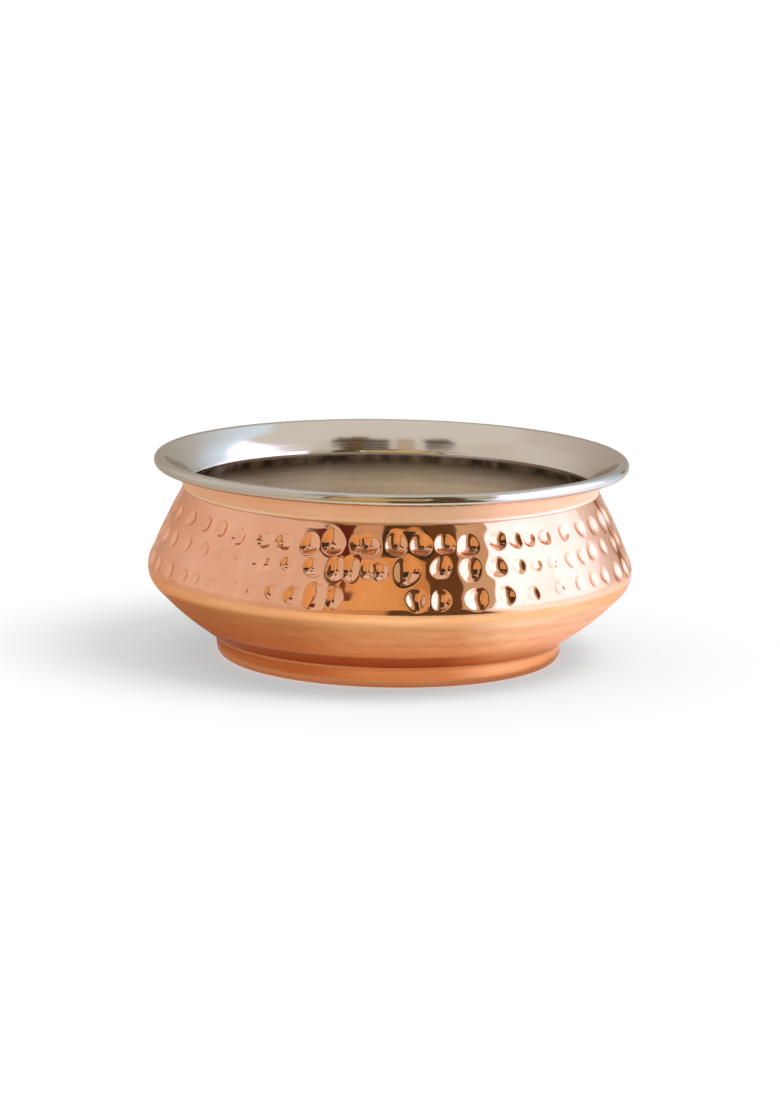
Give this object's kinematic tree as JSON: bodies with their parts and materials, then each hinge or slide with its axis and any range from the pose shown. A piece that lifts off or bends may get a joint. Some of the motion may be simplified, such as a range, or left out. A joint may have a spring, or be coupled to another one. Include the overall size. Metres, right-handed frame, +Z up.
{
  "type": "handi",
  "caption": "low wide-bellied serving pot: a hammered copper shell over a steel bowl, with a flared steel mouth rolled over the copper edge and a copper ring foot",
  "frame": {"origin": "centre of the ring foot, on the surface that the pot stands on", "axes": "+Z up along the pot's turning axis; -Y is the side seen first, where the lowest row of hammer marks leaves a smooth place; +X to the right of it"},
  "size_m": [0.1488, 0.1488, 0.062],
  "materials": {
    "hammered_copper": "copper, mirror polished over hammer marks",
    "polished_steel": "stainless steel, spun and polished",
    "foot_copper": "copper, turned and polished",
    "copper_braze": "brazing filler, wiped and polished over"
  },
  "bodies": {
    "root": {"copper_shell": "hammered_copper", "steel_liner": "polished_steel", "foot_ring": "foot_copper", "foot_braze": "copper_braze"}
  },
  "joints": []
}
